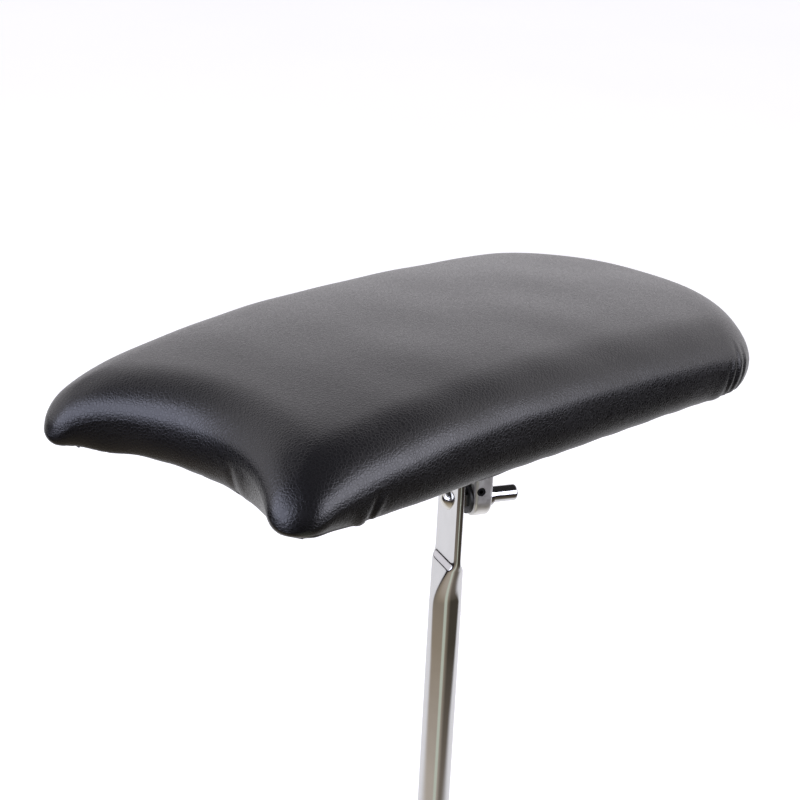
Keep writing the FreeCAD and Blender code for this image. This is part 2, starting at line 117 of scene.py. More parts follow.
PLEAT_START = (-4.0, 2.0)    # a pleat sets in between these, about its start
PLEAT_STOP = 0.55            # and begins to fade at this share of its top
PLEAT_RIDGE = 0.55           # height of the ridge beside a pleat, as a share of its depth
RIDGE_AWAY = 2.1             # the ridge's distance and width, in widths of the pleat
RIDGE_WIDTH = 1.5
# place in the plan, reach along the edge, how far out, how far down
LUMPS = (
    (83.0, -136.0, 4.0, 0.6, 1.4),
    (-50.0, -163.0, 13.0, 0.8, 2.6),
    (-67.0, -171.0, 9.0, 0.5, 3.0),
    (-74.0, 146.0, 9.0, 0.4, 1.2),
    (88.0, 104.0, 6.0, 0.3, 0.9),
    (20.0, 172.0, 12.0, 0.3, 0.8),
    (-88.0, -20.0, 8.0, 0.3, 0.9),
)
LUMP_LEVEL = 2.0             # height of a lump's middle, and how far it reaches up and down
LUMP_RISE = 6.0
UNDERSIDE = -0.75            # a point whose normal points down more steeply than this is underneath
WAVE_DEPTH = 0.16
WAVE_END = 3.0               # the waves fade out this far under the pad
HEM_WAVE = 0.45
HEM_RISE = 5.0               # the hem's ripple fades out over this height
HEM_END = -6.0               # and stops this far under the pad

# ---- dust cover ----------------------------------------------------------------------------------
DUST_INSET = 8.0
DUST_EDGE = (0.0, 0.012, 0.035, 0.065)   # rings under the staples, as shares of the way to the window
DUST_START = 0.12
DUST_RINGS = 14
DUST_SPOKES = 264
PLATE_WINDOW = (49.0, 67.0, 7.5)         # length, width and corner radius
PLATE_MIDDLE = 13.05
WINDOW_TURNS = 721
WINDOW_REACH = 60.0
WINDOW_STEPS = 2401
SAG_CAP = 2.2
SAG_SLACK = 0.006
SAG_FRAMES = 16
DUST_FABRIC = {
    "quality": 6, "mass": 0.12, "tension_stiffness": 12, "compression_stiffness": 6,
    "shear_stiffness": 3, "bending_stiffness": 0.3, "shrink_min": -SAG_SLACK,
}

# ---- foam ----------------------------------------------------------------------------------------
BOARD_LIFT = 1.2
BOARD_THICKNESS = 9.0
BOARD_INSET = 6.5
FOAM_GAP = 2.6               # from the leather's outside to the foam
FOAM_SPOKES = 200
FOAM_SPINE = 95.0            # half the length of the line that the rings close in on
FOAM_INSETS = (0.0, 0.5, 1.6, 3.4, 6.0, 9.5, 14.0, 20.0)
FOAM_SHARES = (0.25, 0.55, 0.85)
HOLLOW_CLEARANCE = 1.8       # over the board
LIP_IN = 0.5                 # the foam's lip, inwards and outwards from the board's edge
LIP_OUT = 0.6
LIP_FOOT = 0.2               # it ends this far above the board's underside
# distance from the gap, and height as a share of ROLL_HEIGHT, where the foam turns up the side
FOAM_TURN = ((2.2, 0.35), (0.4, 0.8))

# ---- post: mm about the bolt's axis --------------------------------------------------------------
PIVOT_YAW = 63.8
PIVOT_Z = 215.0
TUBE_RADIUS = 8.0
TUBE_WALL = 1.5
FLAT_HALF = 1.9
FLAT_HALF_WIDTH = 13.0
SLIT_HALF = 0.35
BOLT_HOLE_RADIUS = 3.2
BOLT_HOLE_SIDES = 32
TIP_POINTS = 41              # round the rounded tip
CUT_MARGIN = 1.0             # a cut reaches at least this far past what it cuts
TUBE_SEGMENTS = 160
TUBE_LEVELS = (0.7, 0.4)     # sections of the plain tube, as shares of PIVOT_Z
PRESS_LEVELS = 110           # sections of the pressed stretch
PRESS_MARGIN = 5.0           # which goes on this far past the ramp's two ends
RAMP_FOOT = -52.0            # the press starts to cut into the round tube here
RAMP_TOP = -28.0             # and has reached the flat here
RAMP_BEND = 1.6
RAMP_POWER = 0.72
RIDGE = 0.5                  # how round the edge is between the round tube and the pressed ramp
WIDEN = (-52.0, -26.0)       # the round tube spreads to the flat's width
SQUARE_UP = (-34.0, -27.0)   # the pressed round becomes the flat's own section
SHARP_ANGLE = 50.0

# ---- studio: metres; bearings in radians from straight towards the camera, positive to its right --
BACKDROP_LEVEL = 1.25
BACKDROP_TINT = (0.985, 0.955, 1.0)
ROOM_TINT = (0.125, 0.122, 0.145)
BACKDROP_FADE = (-0.35, 0.25)            # the backdrop sets in here, from front to back
CEILING_FADE = (0.62, 0.84)              # it gives way to the ceiling between these heights
LOW_FADE = (-0.45, 0.22, 0.4)            # below the horizon it dims, to the last figure
LEFT_FADE = (0.25, 0.75, 0.76)           # towards the left it dims too, to the last figure
FLOOR_RADIUS = 12.0
FLOOR_SEGMENTS = 96
FLOOR_GLOW = 0.55
SWEEP_FADE = (0.08, -0.05)               # the white sweep sets in here, from front to back
SWEEP_COLOUR = (0.95, 0.94, 0.97, 1.0)
SWEEP_CORNER = (0.27, 0.2)               # its edge runs back from here, to the left and to the right
SWEEP_SLOPE = 0.9
SIDE_FADE = (0.1, 0.75)                  # bearings between which the left side gives way to the right
STRIP_BEARING = 0.07                     # a pale strip of painted glow across the dark floor, towards the camera, seen only by reflections, where it paints a pale streak on the chrome post
STRIP_FADE = (0.10, 0.24)
STRIP_END = (0.55, 0.7)
STRIP_SHARE = 0.8
STRIP_GLOW_COLOUR = (0.66, 0.73, 0.62, 1.0)
# painted light that the floor in front glows for reflections, brighter near the post, darker away from it and
# on the right: distance from the post, colour
FLOOR_LEFT_PAINTED_LIGHT = (
    (0.12, (0.56, 0.50, 0.43)),
    (0.3, (0.36, 0.30, 0.23)),
    (0.5, (0.20, 0.17, 0.14)),
    (0.66, (0.022, 0.019, 0.020)),
)
FLOOR_RIGHT_PAINTED_LIGHT = (
    (0.12, (0.20, 0.17, 0.14)),
    (0.3, (0.07, 0.06, 0.045)),
    (0.5, (0.06, 0.05, 0.04)),
    (0.66, (0.022, 0.019, 0.020)),
)
SOFTBOX_DISTANCE = 1.4
# name, azimuth, elevation, width, height, power, colour
SOFTBOXES = (
    ("right_softbox", 108.5, 16.0, 1.12, 1.1, 16.6, (0.86, 0.865, 1.0)),
    ("left_softbox", -19.0, 17.5, 1.3, 1.12, 19.0, (0.76, 0.79, 1.0)),
)
WHITE = (1.0, 1.0, 1.0, 1.0)


def smooth(value, low, high):
    """0 below the low value, 1 above the high one, with a soft step between."""
    t = np.clip((value - low) / (high - low), 0.0, 1.0)
    return t * t * (3.0 - 2.0 * t)


# ---- pad outline ---------------------------------------------------------------------------------
def outline_pieces():
    """Right half of the plan, from the middle of the notch to the middle of the rounded end."""
    half = PAD_LENGTH / 2
    horn = np.array([HORN_SPREAD, HORN_RADIUS - half])
    notch_top = NOTCH_DEPTH - half
    rise = notch_top - horn[1]
    notch_radius = (HORN_SPREAD ** 2 + rise ** 2 - HORN_RADIUS ** 2) / (2 * (HORN_RADIUS + rise))
    notch = np.array([0.0, notch_top - notch_radius])
    corner_x = PAD_WIDTH / 2 - END_CORNER_RADIUS
    end = np.array([0.0, half - END_RADIUS])
    corner = np.array([corner_x, end[1] + math.sqrt((END_RADIUS - END_CORNER_RADIUS) ** 2 - corner_x ** 2)])
    span = corner - horn
    lean = math.asin((HORN_RADIUS - END_CORNER_RADIUS) / np.hypot(*span)) - math.atan2(span[0], span[1])
    to_notch = horn - notch
    notch_angle = math.atan2(to_notch[1], to_notch[0])
    to_corner = corner - end
    corner_angle = math.atan2(to_corner[1], to_corner[0])
    return [
        ("arc", notch, notch_radius, math.pi / 2, notch_angle, -1),
        ("arc", horn, HORN_RADIUS, notch_angle - math.pi, lean, 1),
        ("line", horn, HORN_RADIUS, corner, END_CORNER_RADIUS, lean),
        ("arc", corner, END_CORNER_RADIUS, lean, corner_angle, 1),
        ("arc", end, END_RADIUS, corner_angle, math.pi / 2, 1),
    ]


def half_outline(step):
    """Points and inward normals along the right half of the plan."""
    points, normals = [], []
    for piece in outline_pieces():
        if piece[0] == "arc":
            _, centre, radius, start, stop, side = piece
            if side > 0 and stop < start:
                stop += 2 * math.pi
            count = max(2, int(abs(stop - start) * radius / step))
            angle = np.linspace(start, stop, count + 1)
            ray = np.stack([np.cos(angle), np.sin(angle)], 1)
            points.append(centre + radius * ray)
            normals.append(-side * ray)
        else:
            _, low, low_radius, high, high_radius, lean = piece
            ray = np.array([math.cos(lean), math.sin(lean)])
            a, b = low + low_radius * ray, high + high_radius * ray
            count = max(2, int(np.hypot(*(b - a)) / step))
            t = np.linspace(0, 1, count + 1)[:, None]
            points.append(a + (b - a) * t)
            normals.append(np.repeat(-ray[None], count + 1, 0))
    return np.concatenate(points), np.concatenate(normals)


def whole_outline(step=0.25):
    """Closed plan from the middle of the notch round by +X: points, inward normals, lengths, total."""
    points, normals = half_outline(step)
    mirror = np.array([-1.0, 1.0])
    points = np.concatenate([points, points[::-1] * mirror])
    normals = np.concatenate([normals, normals[::-1] * mirror])
    gap = np.hypot(*np.diff(points, axis=0, append=points[:1]).T)
    keep = gap > 1e-6
    points, normals, gap = points[keep], normals[keep], gap[keep]
    along = np.concatenate([[0.0], np.cumsum(gap)[:-1]])
    return points, normals, along, float(gap.sum())


OUTLINE, INWARD, RUN, AROUND = whole_outline()


def at_run(run):
    """Outline point and inward normal at these running lengths."""
    run = np.mod(run, AROUND)
    grid = np.concatenate([RUN, [AROUND]])
    point = [np.interp(run, grid, np.concatenate([OUTLINE[:, k], OUTLINE[:1, k]])) for k in (0, 1)]
    normal = [np.interp(run, grid, np.concatenate([INWARD[:, k], INWARD[:1, k]])) for k in (0, 1)]
    normal = np.stack(normal, 1)
    return np.stack(point, 1), normal / np.hypot(*normal.T)[:, None]


def run_facing(x, y):
    """Running length of the outline point nearest to a place in the plan."""
    return RUN[np.argmin((OUTLINE[:, 0] - x) ** 2 + (OUTLINE[:, 1] - y) ** 2)]


def run_gap(run, middle):
    """Signed distance along the outline, the short way round."""
    return (run - middle + AROUND / 2) % AROUND - AROUND / 2


def nearest_run(flat):
    """Running length of the nearest outline point, and how far inside the outline each point lies."""
    tree = kdtree.KDTree(len(OUTLINE))
    for k, point in enumerate(OUTLINE):
        tree.insert((point[0], point[1], 0.0), k)
    tree.balance()
    index = np.array([tree.find((x, y, 0.0))[1] for x, y in flat])
    gap = flat - OUTLINE[index]
    return RUN[index], (gap * INWARD[index]).sum(1)


# ---- pad's height --------------------------------------------------------------------------------
def crown(x, y):
    """Height of the top, before it rounds over at the edge."""
    along = (y - CROWN_PEAK_Y) / CROWN_SPAN
    fall = np.where(along < 0, CROWN_FALL_NOTCH, CROWN_FALL_END)
    across = np.abs(x) / (PAD_WIDTH / 2)
    return CROWN_HEIGHT - fall * along ** 2 - CROWN_FALL_SIDE * across ** CROWN_SIDE_POWER


def at_tip(x, y, reach):
    """1 at the tips of the horns, fading to 0 over this reach."""
    away = np.hypot(np.abs(x) - HORN_SPREAD - TIP_OUT, y + PAD_LENGTH / 2 - TIP_IN)
    return np.exp(-(away / reach) ** 2)


def edge_drop(inset, x, y):
    """How far the top has fallen below the crown at this distance inside the outline."""
    part = np.clip(1 - inset / EDGE_INSET, 0.0, 1.0)
    drop = EDGE_DROP * (1 - (1 - part ** EDGE_POWER) ** (1 / EDGE_POWER))
    drop = drop + TIP_DROP * at_tip(x, y, TIP_REACH)
    return drop + CORNER_DROP * smooth(y, *CORNER_SPAN) * np.exp(-(inset / CORNER_REACH) ** 2)


# ---- meshes --------------------------------------------------------------------------------------
def new_object(name, points, faces):
    """Smooth-shaded mesh object, from points in metres."""
    mesh = bpy.data.meshes.new(name)
    mesh.from_pydata([tuple(p) for p in points], [], faces)
    mesh.validate()
    mesh.update()
    mesh.shade_smooth()
    obj = bpy.data.objects.new(name, mesh)
    bpy.context.scene.collection.objects.link(obj)
    return obj


def read_vectors(mesh, name):
    """One vector per point of the mesh: its place, or its normal."""
    values = np.zeros(len(mesh.vertices) * 3, np.float32)
    mesh.vertices.foreach_get(name, values)
    return values.reshape(-1, 3).astype(float)


def write_points(mesh, points):
    mesh.vertices.foreach_set("co", points.astype(np.float32).ravel())
    mesh.update()


def move_points(obj, shift):
    write_points(obj.data, read_vectors(obj.data, "co") + np.array(shift))


def evaluated(obj):
    return obj.evaluated_get(bpy.context.evaluated_depsgraph_get())


def keep_result(obj, modifier):
    """The object's mesh becomes what the modifier makes of it."""
    result = bpy.data.meshes.new_from_object(evaluated(obj))
    obj.modifiers.remove(modifier)
    old = obj.data
    obj.data = result
    bpy.data.meshes.remove(old)


def subdivide(obj, levels):
    modifier = obj.modifiers.new("fine", "SUBSURF")
    modifier.levels = levels
    modifier.render_levels = levels
    keep_result(obj, modifier)
    obj.data.shade_smooth()


def cut_away(obj, tool):
    """Take the tool's solid out of the object, and delete the tool."""
    modifier = obj.modifiers.new("cut", "BOOLEAN")
    modifier.operation = "DIFFERENCE"
    modifier.solver = "EXACT"
    modifier.object = tool
    keep_result(obj, modifier)
    bpy.data.objects.remove(tool)


def quad_rows(rows, count):
    """Faces between closed rings of points that follow one another."""
    faces = []
    for k in range(rows - 1):
        for i in range(count):
            n = (i + 1) % count
            faces.append((k * count + i, k * count + n, (k + 1) * count + n, (k + 1) * count + i))
    return faces


def stacked(rows, count):
    """Faces of a closed solid made of stacked rings."""
    bottom = tuple(range(count))[::-1]
    top = tuple((rows - 1) * count + i for i in range(count))
    return quad_rows(rows, count) + [bottom, top]


def prism(name, outline, low, high):
    """Solid between two values of x with this outline in y and z."""
    count = len(outline)
    points = [(low, y, z) for y, z in outline] + [(high, y, z) for y, z in outline]
    faces = [tuple(range(count))[::-1], tuple(range(count, 2 * count))]
    for i in range(count):
        n = (i + 1) % count
        faces.append((i, n, count + n, count + i))
    return new_object(name, np.array(points) * MM, faces)


# ---- cloth simulation ----------------------------------------------------------------------------
def simulate(obj, grips, fabric, gravity, frames):
    """Each point's movement in a cloth simulation; grips lists points and how firmly they are held."""
    scene = bpy.context.scene
    group = obj.vertex_groups.new(name="held")
    for points, firmness in grips:
        group.add(points, firmness, "REPLACE")
    cloth = obj.modifiers.new("cloth", "CLOTH")
    for name, value in fabric.items():
        setattr(cloth.settings, name, value)
    cloth.settings.vertex_group_mass = "held"
    cloth.settings.effector_weights.gravity = gravity
    cloth.point_cache.frame_start = 1
    cloth.point_cache.frame_end = frames
    for frame_number in range(1, frames + 1):
        scene.frame_set(frame_number)
    moved = read_vectors(evaluated(obj).data, "co") - read_vectors(obj.data, "co")
    obj.modifiers.remove(cloth)
    obj.vertex_groups.clear()
    scene.frame_set(1)
    return moved


def move_within(obj, moved, cap):
    """Move the points, none of them further than the cap."""
    length = np.linalg.norm(moved, axis=1)
    move_points(obj, moved * np.minimum(1.0, cap / np.maximum(length, 1e-9))[:, None])


def even_out(mesh, moved, pinned, rounds):
    """The movement with its small buckles smoothed away between neighbouring points."""
    ends = np.array([tuple(edge.vertices) for edge in mesh.edges])
    count = np.bincount(ends.ravel(), minlength=len(moved))[:, None]
    for _ in range(rounds):
        total = np.zeros_like(moved)
        np.add.at(total, ends[:, 0], moved[ends[:, 1]])
        np.add.at(total, ends[:, 1], moved[ends[:, 0]])
        moved = 0.5 * moved + 0.5 * total / count
        moved[pinned] = 0.0
    return moved


def inflate(obj, pinned):
    """Pressure swells the skin between its stapled hem and the foam's grip, up to the cap."""
    grips = [(list(range(pinned[0])), FOAM_HOLD), (pinned, 1.0)]
    moved = simulate(obj, grips, SKIN_CLOTH, 0.0, SWELL_FRAMES)
    move_within(obj, even_out(obj.data, moved, pinned, SWELL_ROUNDS), SWELL_CAP * MM)


def sag(obj, pinned):
    """The dust cover hangs under its own weight between its pinned edges, up to the cap."""
    moved = simulate(obj, [(pinned, 1.0)], DUST_FABRIC, 1.0, SAG_FRAMES)
    moved[:, 2] = np.minimum(moved[:, 2], 0.0)
    move_within(obj, moved, SAG_CAP * MM)


# ---- leather pad ---------------------------------------------------------------------------------
def skin_rings():
    """(kind, inset, value) of each ring, from the edge of the top grid to the hem."""
    rows = [("top", inset, 0.0) for inset in TOP_INSETS]
    rows += [("wall", 0.0, share) for share in WALL_SHARES]
    for angle in ROLL_ANGLES:
        turn = math.radians(angle)
        rows.append(("roll", TUCK * (1 - math.cos(turn)), 1 - math.sin(turn)))
    for share in HEM_SHARES:
        rows.append(("hem", TUCK + TIP_TUCK + (HEM_INSET - TUCK - TIP_TUCK) * share, 0.0))
    return rows


def top_patch(rim):
    """Evened-out grid of places in the plan, inside a closed rim of points."""
    turn = GRID_ACROSS + GRID_ALONG
    near = rim[:GRID_ACROSS + 1]
    right = rim[GRID_ACROSS:turn + 1]
    far = rim[turn:turn + GRID_ACROSS + 1][::-1]
    left = np.concatenate([rim[turn + GRID_ACROSS:], rim[:1]])[::-1]
    u = np.linspace(0, 1, GRID_ACROSS + 1)[:, None, None]
    v = np.linspace(0, 1, GRID_ALONG + 1)[None, :, None]
    patch = ((1 - v) * near[:, None] + v * far[:, None] + (1 - u) * left[None] + u * right[None]
             - (1 - u) * (1 - v) * near[0] - u * (1 - v) * near[-1]
             - (1 - u) * v * far[0] - u * v * far[-1])
    for _ in range(GRID_ROUNDS):
        around = patch[:-2, 1:-1] + patch[2:, 1:-1] + patch[1:-1, :-2] + patch[1:-1, 2:]
        patch[1:-1, 1:-1] = 0.25 * around
    return patch.reshape(-1, 2)


def grid_index(i, j):
    return i * (GRID_ALONG + 1) + j


def top_faces():
    """Quads of the grid over the top, and the grid's border in the outline's order."""
    faces = []
    for i in range(GRID_ACROSS):
        for j in range(GRID_ALONG):
            corners = ((i, j), (i + 1, j), (i + 1, j + 1), (i, j + 1))
            faces.append(tuple(grid_index(*corner) for corner in corners))
    border = [grid_index(i, 0) for i in range(GRID_ACROSS)]
    border += [grid_index(GRID_ACROSS, j) for j in range(GRID_ALONG)]
    border += [grid_index(i, GRID_ALONG) for i in range(GRID_ACROSS, 0, -1)]
    border += [grid_index(0, j) for j in range(GRID_ALONG, 0, -1)]
    return faces, border


def skin_runs():
    """Running lengths of the spokes, parted at the horns and the far corners like the grid's border."""
    half = PAD_LENGTH / 2
    horn_x = HORN_SPREAD + HORN_RADIUS
    left_horn = run_facing(-horn_x, -half)
    right_horn = run_facing(horn_x, -half)
    right_end = run_facing(PAD_WIDTH / 2, half)
    left_end = run_facing(-PAD_WIDTH / 2, half)
    stops = [left_horn - AROUND, right_horn, right_end, left_end, left_horn]
    counts = [GRID_ACROSS, GRID_ALONG, GRID_ACROSS, GRID_ALONG]
    sides = [np.linspace(a, b, count, endpoint=False) for a, b, count in zip(stops, stops[1:], counts)]
    return np.concatenate(sides)


def pad_mesh(shrink=0.0, lower=0.0):
    """Points and quads of the pad's skin, and its first hem point; the two values set it back a little."""
    base, inward = at_run(skin_runs())
    total = len(base)
    flat = top_patch(base + inward * (GRID_INSET + shrink))
    near = np.sqrt(((flat[:, None] - OUTLINE[None, ::4]) ** 2).sum(2)).min(1)
    points = [np.column_stack([flat, crown(*flat.T) - lower - edge_drop(near - shrink, *flat.T)])]
    faces, last = top_faces()
    offset = len(flat)
    hem_start = None
    for kind, inset, value in skin_rings():
        depth = np.full(total, inset)
        if kind == "roll":
            depth = depth + TIP_TUCK * at_tip(*base.T, TIP_TUCK_REACH) * inset / TUCK
        if kind != "hem":
            depth = depth + shrink
        elif hem_start is None:
            hem_start = offset
        place = base + inward * depth[:, None]
        height = crown(*place.T) - lower - edge_drop(inset if kind == "top" else 0.0, *place.T)
        roll = np.minimum(ROLL_HEIGHT, height - ROLL_MARGIN)
        if kind == "wall":
            height = height * (1 - value) + roll * value
        elif kind != "top":
            height = roll * value
        points.append(np.column_stack([place, height]))
        ring = list(range(offset, offset + total))
        for k in range(total):
            n = (k + 1) % total
            faces.append((last[n], last[k], ring[k], ring[n]))
        last = ring
        offset += total
    return np.concatenate(points) * MM, faces, hem_start


def slow_waves(x, y, z):
    """Slight unevenness of leather pulled over foam by hand."""
    return (np.sin(x / 11.0 + 0.4) * np.sin(y / 17.0 + 1.1) + 0.7 * np.sin(x / 19.0 - y / 13.0 + 2.0)
            + 0.5 * np.sin(y / 7.3 + z / 5.0 + 0.6))


def hem_ripple(run):
    """Uneven waves along the hem."""
    return 0.35 * np.sin(run / 3.4 + 0.8 * np.sin(run / 19.0)) + 0.25 * np.sin(run / 7.7 + 1.3)


def pleats(run, up):
    """Depth of the pleats at this running length and this height up the side."""
    depth_here = np.zeros(len(run))
    for x, y, lean, low, high, depth, width in PLEATS:
        gap = run_gap(run, run_facing(x, y) + lean * (up - low) / (high - low))
        start, end = PLEAT_START
        fade = smooth(up, low + start, low + end) * (1 - smooth(up, PLEAT_STOP * high, high))
        ridge = np.exp(-((gap - RIDGE_AWAY * width) / (RIDGE_WIDTH * width)) ** 2)
        depth_here += depth * fade * (np.exp(-(gap / width) ** 2) - PLEAT_RIDGE * ridge)
    return depth_here


def crease(obj):
    """Pleats, bulges at the hem and the slight unevenness of the leather."""
    points = read_vectors(obj.data, "co") / MM
    normals = read_vectors(obj.data, "normal")
    run, inset = nearest_run(points[:, :2])
    inside = np.maximum(inset, 0.0)
    up = np.where(normals[:, 2] < UNDERSIDE, -inside, points[:, 2] + inside)
    shift = WAVE_DEPTH * slow_waves(*points.T) * (1 - smooth(-up, 0.0, WAVE_END)) - pleats(run, up)
    down = HEM_WAVE * np.exp(-np.maximum(up, 0.0) / HEM_RISE) * (up > HEM_END) * hem_ripple(run)
    for x, y, reach, out, drop in LUMPS:
        along = run_gap(run, run_facing(x, y)) / reach
        here = np.exp(-along ** 2) * np.exp(-((up - LUMP_LEVEL) / LUMP_RISE) ** 2)
        shift += out * here
        down += drop * here
    points += normals * shift[:, None]
    points[:, 2] -= down
    write_points(obj.data, points * MM)


# ---- dust cover ----------------------------------------------------------------------------------
def window_edge(angles):
    """Points of the plate window's rounded rectangle at these angles about its middle, in the plan."""
    along, across, corner = PLATE_WINDOW
    turn = np.linspace(0, 2 * math.pi, WINDOW_TURNS)
    reach = np.linspace(0, WINDOW_REACH, WINDOW_STEPS)
    x = np.abs(np.cos(turn)[:, None] * reach)
    y = np.abs(np.sin(turn)[:, None] * reach)
    over_x, over_y = x - (along / 2 - corner), y - (across / 2 - corner)
    outside = np.hypot(np.maximum(over_x, 0), np.maximum(over_y, 0))
    radius = reach[(outside <= corner).sum(1) - 1]
    local = np.mod(angles - math.radians(PIVOT_YAW), 2 * math.pi)
    r = np.interp(local, turn, radius)
    return np.stack([np.cos(angles) * r, np.sin(angles) * r], 1)


def plate_centre():
    yaw = math.radians(PIVOT_YAW)
    return np.array([PLATE_MIDDLE * math.cos(yaw), PLATE_MIDDLE * math.sin(yaw) - PAD_Y])


def plan_area(ring):
    """Area inside a closed ring of places in the plan."""
    x, y = ring.T
    return 0.5 * abs(np.sum(x * np.roll(y, -1) - y * np.roll(x, -1)))


def dust_cover(level):
    """Thin cloth under the board: rings from near the pad's edge to the window round the plate."""
    base, inward = at_run(np.linspace(0, AROUND, DUST_SPOKES, endpoint=False))
    outer = base + inward * DUST_INSET
    centre = plate_centre()
    spoke = outer - centre
    inner = centre + window_edge(np.arctan2(spoke[:, 1], spoke[:, 0]))
    shares = np.concatenate([DUST_EDGE, np.linspace(DUST_START, 1.0, DUST_RINGS)])
    rings = [np.column_stack([outer * (1 - share) + inner * share, np.full(DUST_SPOKES, level)])
             for share in shares]
    faces = [face[::-1] for face in quad_rows(len(shares), DUST_SPOKES)]
    cover = new_object("dust_cloth", np.concatenate(rings) * MM, faces)
    last_ring = (len(shares) - 1) * DUST_SPOKES
    pinned = [*range(len(DUST_EDGE) * DUST_SPOKES), *range(last_ring, last_ring + DUST_SPOKES)]
    return cover, pinned, plan_area(outer) - plan_area(inner)


# ---- foam ----------------------------------------------------------------------------------------
def foam_mesh():
    """Foam under the leather: crowned above, with a hollow below that fits over the board."""
    base, inward = at_run(np.linspace(0, AROUND, FOAM_SPOKES, endpoint=False))
    spine = np.column_stack([np.zeros(FOAM_SPOKES), np.clip(base[:, 1], -FOAM_SPINE, FOAM_SPINE)])
    hollow_top = BOARD_LIFT + BOARD_THICKNESS + HOLLOW_CLEARANCE
    foot = BOARD_LIFT + LIP_FOOT
    rings = []

    def add_ring(place, height):
        rings.append(np.column_stack([place, np.broadcast_to(height, FOAM_SPOKES)]))

    start = base + inward * (BOARD_INSET + LIP_IN)
    for share in FOAM_SHARES[::-1]:
        add_ring(start * (1 - share) + spine * share, hollow_top)
    add_ring(start, hollow_top)
    add_ring(start, foot)
    add_ring(base + inward * (BOARD_INSET - LIP_OUT), foot)
    for away, share in FOAM_TURN:
        add_ring(base + inward * (FOAM_GAP + away), ROLL_HEIGHT * share)
    for inset in FOAM_INSETS:
        place = base + inward * (inset + FOAM_GAP)
        add_ring(place, crown(*place.T) - edge_drop(inset, *place.T) - FOAM_GAP)
    last = base + inward * (FOAM_INSETS[-1] + FOAM_GAP)
    for share in FOAM_SHARES:
        place = last * (1 - share) + spine * share
        add_ring(place, crown(*place.T) - FOAM_GAP)
    return np.concatenate(rings) * MM, stacked(len(rings), FOAM_SPOKES)


# ---- post ----------------------------------------------------------------------------------------
def stadium(half, half_width):
    """Flattened tube's section: two straight walls joined by half circles, evenly parted."""
    straight = half_width - half
    quarter = straight + math.pi * half / 2
    travel = np.arange(TUBE_SEGMENTS) / TUBE_SEGMENTS * 4 * quarter
    side = np.minimum(travel, 4 * quarter - travel)
    folded = np.minimum(side, 2 * quarter - side)
    bend = np.clip((folded - straight) / half, 0.0, math.pi / 2)
    x = half * np.cos(bend) * np.where(side <= quarter, 1.0, -1.0)
    y = (np.minimum(folded, straight) + half * np.sin(bend)) * np.where(travel <= 2 * quarter, 1.0, -1.0)
    return np.stack([x, y], 1)


def tube_ring(z, radius, half, half_width):
    """Section of the tube at this height about the bolt: round, then cut by the pressed ramps, then flat."""
    angle = 2 * math.pi * np.arange(TUBE_SEGMENTS) / TUBE_SEGMENTS
    x = radius * np.cos(angle)
    y = (radius + (half_width - radius) * smooth(z, *WIDEN)) * np.sin(angle)
    ramp = np.logaddexp(0.0, (RAMP_TOP - z) / RAMP_BEND) * RAMP_BEND / (RAMP_TOP - RAMP_FOOT)
    limit = half + (radius - half) * ramp ** RAMP_POWER
    pressed = limit - np.logaddexp(0.0, (limit - np.abs(x)) / RIDGE) * RIDGE
    ring = np.stack([np.sign(x) * np.maximum(pressed, 0.0), y], 1)
    share = smooth(z, *SQUARE_UP)
    return ring * (1 - share) + stadium(half, half_width) * share


def tube_solid(name, radius, half, half_width, low, high):
    """Solid with the tube's section at each level, from the low end to the high one."""
    plain = [-PIVOT_Z * share for share in TUBE_LEVELS]
    press = np.linspace(RAMP_FOOT - PRESS_MARGIN, RAMP_TOP + PRESS_MARGIN, PRESS_LEVELS)
    levels = [low, *plain, *press, 0.0, high]
    rings = [np.column_stack([tube_ring(z, radius, half, half_width), np.full(TUBE_SEGMENTS, z)])
             for z in levels]
    return new_object(name, np.concatenate(rings) * MM, stacked(len(levels), TUBE_SEGMENTS))


def arc_points(radius, angles):
    return [(radius * math.cos(angle), radius * math.sin(angle)) for angle in angles]


def post_tube():
    """Chromed tube, pressed flat at its top over two ramps, with a rounded tip and a bolt hole."""
    radius = FLAT_HALF_WIDTH
    top = radius + CUT_MARGIN
    post = tube_solid("chrome_post", TUBE_RADIUS, FLAT_HALF, radius, -PIVOT_Z, top)
    inside = (TUBE_RADIUS - TUBE_WALL, SLIT_HALF, radius - TUBE_WALL)
    cut_away(post, tube_solid("bore", *inside, -PIVOT_Z - CUT_MARGIN, top + CUT_MARGIN))
    far = top + 3.0 * CUT_MARGIN
    corners = [(-far, 0.0), (-far, far), (far, far), (far, 0.0)]
    tip = arc_points(radius, np.linspace(0, math.pi, TIP_POINTS))
    cut_away(post, prism("shoulders", tip + corners, -far, far))
    hole = arc_points(BOLT_HOLE_RADIUS, np.linspace(0, 2 * math.pi, BOLT_HOLE_SIDES, endpoint=False))
    cut_away(post, prism("hole", hole, -far, far))
    turned = Matrix.Rotation(math.radians(PIVOT_YAW), 4, "Z")
    post.data.transform(Matrix.Translation((0, 0, PIVOT_Z * MM)) @ turned)
    post.data.set_sharp_from_angle(angle=math.radians(SHARP_ANGLE))
    return post


